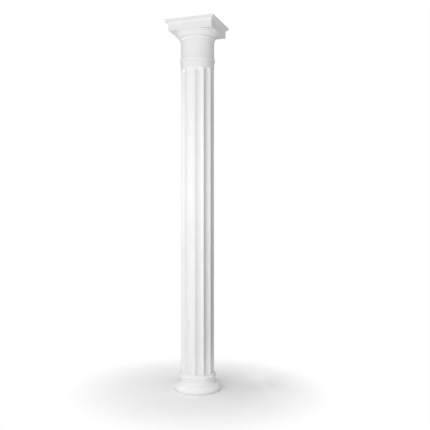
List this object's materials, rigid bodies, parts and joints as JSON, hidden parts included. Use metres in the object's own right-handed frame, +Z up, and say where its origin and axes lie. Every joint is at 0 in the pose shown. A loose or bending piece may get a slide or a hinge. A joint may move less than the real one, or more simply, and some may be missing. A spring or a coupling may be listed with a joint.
{
  "type": "doric column",
  "caption": "Upright doric column: round moulded base, fluted hollow shaft and a capital with a square abacus, open through its middle.",
  "frame": {"origin": "centre of the column's underside, on the floor", "axes": "+Z up along the column's axis; the faces of the abacus look along X and Y, and -Y is the face that shows at the front left of the picture"},
  "size_m": [0.328, 0.328, 2.4086],
  "materials": {
    "white_moulding": "rigid foam moulding with a smooth, matt white primed surface"
  },
  "bodies": {
    "root": {"base": "white_moulding", "shaft": "white_moulding", "capital": "white_moulding"}
  },
  "joints": []
}
